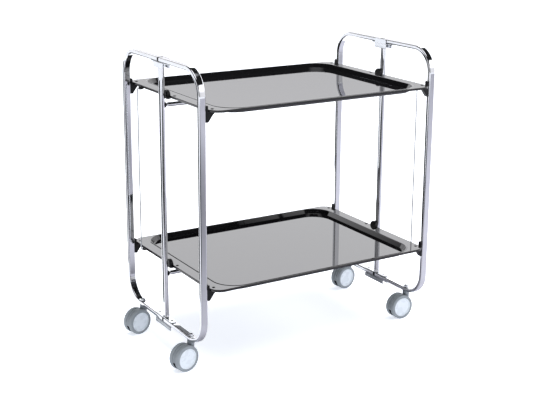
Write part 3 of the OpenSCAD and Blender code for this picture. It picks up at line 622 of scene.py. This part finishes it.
def link_rod(name, side):
    """Thin bright wire rod, bent in at both ends into the lugs of the two trays."""
    bend, end = 3.5, TRAY_X - SHEET - SEAT - 10.0
    high, low = RIMS["upper"] - ROD_DROP, RIMS["lower"] - ROD_DROP
    line = [((end, high), 90)]
    line += [(p, 90 - 90 * k / 10) for k, p in enumerate(arc(ROD_X - bend, high - bend, bend, 90, 0, 10))]
    line += [(p, -90 * k / 10) for k, p in enumerate(arc(ROD_X - bend, low + bend, bend, 0, -90, 10))]
    line += [((end, low), -90)]
    place = at(0, 0, 0, 180 if side < 0 else 0)
    loops = []
    for (x, z), a in line:
        out_x, out_z = math.cos(math.radians(a)), math.sin(math.radians(a))
        loops.append([place @ Vector((x + ROD_R * math.cos(t) * out_x, -ROD_Y + ROD_R * math.sin(t),
                                      z + ROD_R * math.cos(t) * out_z))
                      for t in (2 * math.pi * k / 16 for k in range(16))])
    shell = bmesh.new()
    skin(shell, loops)
    make(name, name, shell)


# ---------------------------------------------------------------- casters


def caster_place(caster):
    """Where a caster's stem meets the floor, turned as the caster trails."""
    end, long_side, turn = CASTERS[caster]
    return at(end * FRAME_X, long_side * STEM_Y, 0, turn)


def hood_outline():
    """The hood from the side: a disc with a flat foot and an open mouth at its trailing edge."""
    r, cx, cz, foot = WHEEL_R - 1.0, -TRAIL, WHEEL_R, 8.0
    mouth_x, mouth_z, mouth_r = cx - 0.75 * WHEEL_R, 0.42 * WHEEL_R, 13.0
    disc = arc(cx, cz, r, -50, 240, 174)
    outline = [(x, z) for x, z in disc if z > foot and math.hypot(x - mouth_x, z - mouth_z) > mouth_r]
    first_x = cx + math.sqrt(r * r - (cz - foot) ** 2)
    inside = [(x, z) for x, z in arc(mouth_x, mouth_z, mouth_r, 110, -60, 60)
              if math.hypot(x - cx, z - cz) < r and z > foot]
    last_x = mouth_x + math.sqrt(mouth_r ** 2 - (mouth_z - foot) ** 2)
    return outline + inside + [(last_x, foot), (first_x, foot)]


def hood(caster):
    """Nylon hood between the two wheels, with its round neck that turns on the stem."""
    name = caster + "_hood"
    place = caster_place(caster)
    shell = bmesh.new()
    prism(shell, hood_outline(), -HOOD_HALF, HOOD_HALF, place @ SIDEWAYS)
    clear = WHEEL_R + 0.5
    top = RAIL_UNDER - SEAT
    steps = 40
    foot, waist = [], []
    for k in range(steps):
        a = 2 * math.pi * k / steps
        x, y = NECK_R * math.cos(a), NECK_R * math.sin(a)
        foot.append((x, y, WHEEL_R + math.sqrt(clear * clear - (x + TRAIL) ** 2) + 0.05))
        waist.append((x, y, 62.5))
    shape = [foot, waist]
    for r, z in ((NECK_R, top - 4.2), (NECK_R - 0.5, top - 3.8), (NECK_R - 0.5, top - 3.2), (NECK_R, top - 2.8),
                 (NECK_R, top - 0.5), (NECK_R - 0.5, top)):
        shape.append([(r * math.cos(2 * math.pi * k / steps), r * math.sin(2 * math.pi * k / steps), z)
                      for k in range(steps)])
    rows = [[shell.verts.new(place @ Vector(p)) for p in loop] for loop in shape]
    for low, high in zip(rows, rows[1:]):
        for k in range(steps):
            shell.faces.new((low[k], low[(k + 1) % steps], high[(k + 1) % steps], high[k]))
    shell.faces.new(rows[-1])
    middle = shell.verts.new(place @ Vector((0, 0, 54)))
    for k in range(steps):
        shell.faces.new((rows[0][(k + 1) % steps], rows[0][k], middle))
    make(name, name, shell, edge=1.2)


def wheel(caster, side):
    """One of a caster's two wheels: a grey tread with softened shoulders round a pale dished hub."""
    sign = -1 if side == "front" else 1
    spin = (caster_place(caster) @ Matrix.Translation((-TRAIL, 0, WHEEL_R))
            @ Matrix.Rotation(-math.pi / 2 * sign, 4, "X"))
    inner, outer = WHEEL_IN, WHEEL_IN + WHEEL_W
    shoulder = 2.4
    groove = 1.9
    tread = [(HUB_R, inner)] + arc(WHEEL_R - groove, inner + groove, groove, -90, 0, 8)
    tread += arc(WHEEL_R - shoulder, outer - shoulder, shoulder, 0, 70, 8)
    # a fine step on the tyre's side face, then the rim of the hub's seat
    tread += [(WHEEL_R - 3.4, outer - 0.05), (WHEEL_R - 3.7, outer - 0.4), (WHEEL_R - 4.1, outer - 0.4),
              (WHEEL_R - 4.4, outer), (HUB_R + 0.5, outer), (HUB_R, outer - 0.5)]
    edge = HUB_R - 0.05
    hub = [(3.05, inner), (edge, inner), (edge, outer - 0.7), (edge - 0.4, outer - 0.3), (edge - 1.9, outer - 0.3),
           (edge - 2.2, outer - 0.5), (edge - 3.2, outer - 1.4), (edge - 4.0, outer - 1.6), (10.0, outer - 1.5),
           (0.0, outer - 1.5), (0.0, outer - 2.7), (3.05, outer - 2.7)]
    for part, outline in (("tyre", tread), ("hub", hub)):
        shell = bmesh.new()
        turned(shell, outline, spin, WHEEL_STEPS, ring=True)
        # painted shade: the first ring of faces, the inner face that looks into the gap beside the hood, is finished
        # black so that the gap reads dark
        for face in shell.faces[:WHEEL_STEPS]:
            face.material_index = 1
        name = f"{caster}_{side}_{part}"
        make(name, name, shell, inside="black_plastic")


# ---------------------------------------------------------------- studio


def stage_plane(name, corners, material):
    """A flat sheet of the studio, which is no part of the trolley."""
    mesh = bpy.data.meshes.new(name)
    mesh.from_pydata([Vector(c) for c in corners], [], [tuple(range(len(corners)))])
    plane = bpy.data.objects.new(name, mesh)
    plane.data.materials.append(material)
    bpy.context.scene.collection.objects.link(plane)
    return plane


def flat_paint(name, low, high, rough):
    """Matt studio paper or card, with a slow drift of tone."""
    made, tree, shader, place = new_material(name, high, Roughness=rough)
    mottle = add(tree, "ShaderNodeTexNoise", [("Vector", place), ("Scale", per_metre(600)), ("Detail", 2.0)])
    vary(tree, shader, mottle.outputs["Fac"], low, high, rough * 0.95, rough)
    return made


def only_mirrored(card):
    """A card outside the picture that shows in bright metal alone, as in a product studio."""
    card.visible_camera = card.visible_diffuse = card.visible_shadow = False


def studio():
    """A backlit white table, three black cards on the left for the uprights' dark sides, and a
    grey one on the table."""
    reach = 9.0
    table = flat_paint("backlit_white_acrylic", "#f4f5f6", "#f7f8f9", 0.8)
    glow = table.node_tree.nodes["Principled BSDF"]
    glow.inputs["Emission Color"].default_value = srgb("#eaeff7")
    glow.inputs["Emission Strength"].default_value = 0.7
    stage_plane("floor", [(-reach, -reach, 0), (reach, -reach, 0), (reach, reach, 0), (-reach, reach, 0)], table)
    # the cards end below the top rails, which mirror the white behind them, and the posts see the gap between them
    black = flat_paint("black_card", "#0e0e0f", "#121213", 0.9)
    for name, near, far, low, high in (("near_black_card", (-0.475, -0.05), (-0.458, 0.15), 0.05, 0.618),
                                       ("middle_black_card", (-0.435, 0.38), (-0.41, 0.62), 0.05, 0.618),
                                       ("far_black_card", (-0.41, 0.62), (-0.35, 1.30), 0.01, 0.50)):
        only_mirrored(stage_plane(name, [(*near, low), (*far, low), (*far, high), (*near, high)], black))
    only_mirrored(stage_plane("shaded_table", [(-1.75, -3.3, 0.002), (4.0, -3.3, 0.002), (4.0, 0.2, 0.002),
                                               (-0.25, 0.2, 0.002), (-0.45, -0.1, 0.002), (-0.75, -0.4, 0.002),
                                               (-1.75, -0.9, 0.002)], shaded_card()))


def shaded_card():
    """Grey card with a dark patch, as the table mirrors the dark end of the room on the camera's
    side."""
    made, tree, shader, place = new_material("shaded_grey_card", "#cfcfda", Roughness=0.9)
    off = add(tree, "ShaderNodeVectorMath", [(0, place), (1, PATCH)], operation="DISTANCE")
    edge = add(tree, "ShaderNodeMapRange", [("Value", off.outputs["Value"]), ("From Min", PATCH_EDGE[0]),
                                            ("From Max", PATCH_EDGE[1])])
    vary(tree, shader, edge.outputs["Result"], "#101010", "#cfcfda", 0.9, 0.85)
    return made


def area_light(name, place, target, width, height, power):
    """A soft box that lights the trolley and is not mirrored in it."""
    lamp = bpy.data.lights.new(name, "AREA")
    lamp.shape = "RECTANGLE"
    lamp.size, lamp.size_y = width, height
    lamp.energy = power
    holder = bpy.data.objects.new(name, lamp)
    holder.location = place
    holder.rotation_euler = (Vector(target) - Vector(place)).to_track_quat("-Z", "Y").to_euler()
    holder.visible_glossy = False
    bpy.context.scene.collection.objects.link(holder)


def room():
    """White walls up to a low ceiling line, brighter behind the trolley, then a dark hall with a
    soft light overhead."""
    world = bpy.data.worlds.new("white_room")
    world.use_nodes = True
    bpy.context.scene.world = world
    tree = world.node_tree
    ground = tree.nodes["Background"]
    way = add(tree, "ShaderNodeTexCoord").outputs["Generated"]

    def ramp(value, from_low, from_high, to_low, to_high):
        return add(tree, "ShaderNodeMapRange", [("Value", value), ("From Min", from_low), ("From Max", from_high),
                                                ("To Min", to_low), ("To Max", to_high)]).outputs["Result"]

    back = add(tree, "ShaderNodeVectorMath", [(0, way), (1, (0.52, 0.85, 0.0))], operation="DOT_PRODUCT")
    up = add(tree, "ShaderNodeSeparateXYZ", [(0, way)]).outputs["Z"]
    # up is the sine of the height above the horizon; walls fade from the back to the camera's side
    depth = ramp(back.outputs["Value"], -0.5, 0.5, 0.4, 1.0)
    rise = ramp(up, 0.17, 0.36, 1.2, 2.7)
    # on the right the white paper is wider and higher than on the left
    right = ramp(add(tree, "ShaderNodeSeparateXYZ", [(0, way)]).outputs["X"], 0.28, 0.46, 0.0, 1.0)
    wide = add(tree, "ShaderNodeMath", [(0, depth), (1, right)], operation="MAXIMUM").outputs[0]
    line = add(tree, "ShaderNodeMath", [(0, right), (1, -0.22), (2, up)], operation="MULTIPLY_ADD").outputs[0]
    walls = add(tree, "ShaderNodeMath", [(0, wide), (1, rise)], operation="MULTIPLY").outputs[0]
    lit_walls = add(tree, "ShaderNodeMath", [(0, walls), (1, ramp(line, 0.36, 0.41, 1.0, 0.0))], operation="MULTIPLY")
    level = add(tree, "ShaderNodeMath", [(0, lit_walls.outputs[0]), (1, ramp(up, 0.88, 0.95, 0.02, 2.2))],
                operation="ADD")
    tree.links.new(level.outputs[0], ground.inputs["Strength"])
    ground.inputs["Color"].default_value = srgb("#fcfcff")


def camera():
    """The photograph's viewpoint, from a fit of the frames, trays and wheels."""
    yaw, pitch, roll = (math.radians(a) for a in AIM)
    ahead = Vector((math.sin(yaw) * math.cos(pitch), math.cos(yaw) * math.cos(pitch), -math.sin(pitch)))
    level = Vector((math.cos(yaw), -math.sin(yaw), 0.0))
    rise = level.cross(ahead)
    right = level * math.cos(roll) + rise * math.sin(roll)
    top = rise * math.cos(roll) - level * math.sin(roll)
    lens = bpy.data.cameras.new("camera")
    lens.sensor_width, lens.lens, lens.shift_y = SENSOR, LENS, LENS_SHIFT
    lens.clip_end = 60.0
    eye = bpy.data.objects.new("camera", lens)
    eye.matrix_world = Matrix((
        (right.x, top.x, -ahead.x, EYE[0]),
        (right.y, top.y, -ahead.y, EYE[1]),
        (right.z, top.z, -ahead.z, EYE[2]),
        (0, 0, 0, 1)))
    bpy.context.scene.collection.objects.link(eye)
    bpy.context.scene.camera = eye


# ---------------------------------------------------------------- the trolley


def dress_hidden_nodes():
    """The nodes that stay as they are, inside the rails and hoods, get the finish of their slot."""
    for name, node in frame["nodes"].items():
        node.data.materials.clear()
        node.data.materials.append(FINISHES[SLOT_OF[name]])


dress_hidden_nodes()
for end, side in (("left", -1), ("right", 1)):
    half_frame(end + "_front_frame", side, -1)
    half_frame(end + "_rear_frame", side, 1)
    centre_post(end + "_post", side)
    top_hinge(end + "_top_hinge", side)
    bottom_hinge(end + "_bottom_hinge", side)
    bottom_strap(end + "_bottom_strap", side)
    link_rod(end + "_link_rod", side)
tube_plugs()
hinge_pins()
bar_bushes()
caster_nuts()
for level, rim_height in RIMS.items():
    tray(level + "_tray", rim_height)
    tray_bar(level + "_bar", rim_height)
    bar_saddles(level + "_bar_saddles", rim_height)
    corner_catches(level + "_corner_catches", rim_height)
    centre_catches(level + "_centre_catches", rim_height)
    tray_rivets(level + "_tray_rivets", rim_height)
    rod_blocks(level + "_rod_blocks", rim_height)
for caster_name in CASTERS:
    hood(caster_name)
    wheel(caster_name, "front")
    wheel(caster_name, "rear")

studio()
room()
area_light("soft_top", (0.4, -0.6, 3.2), (0, 0, 0.3), 3.0, 3.0, 115)
camera()
bpy.context.scene.view_settings.view_transform = "Standard"
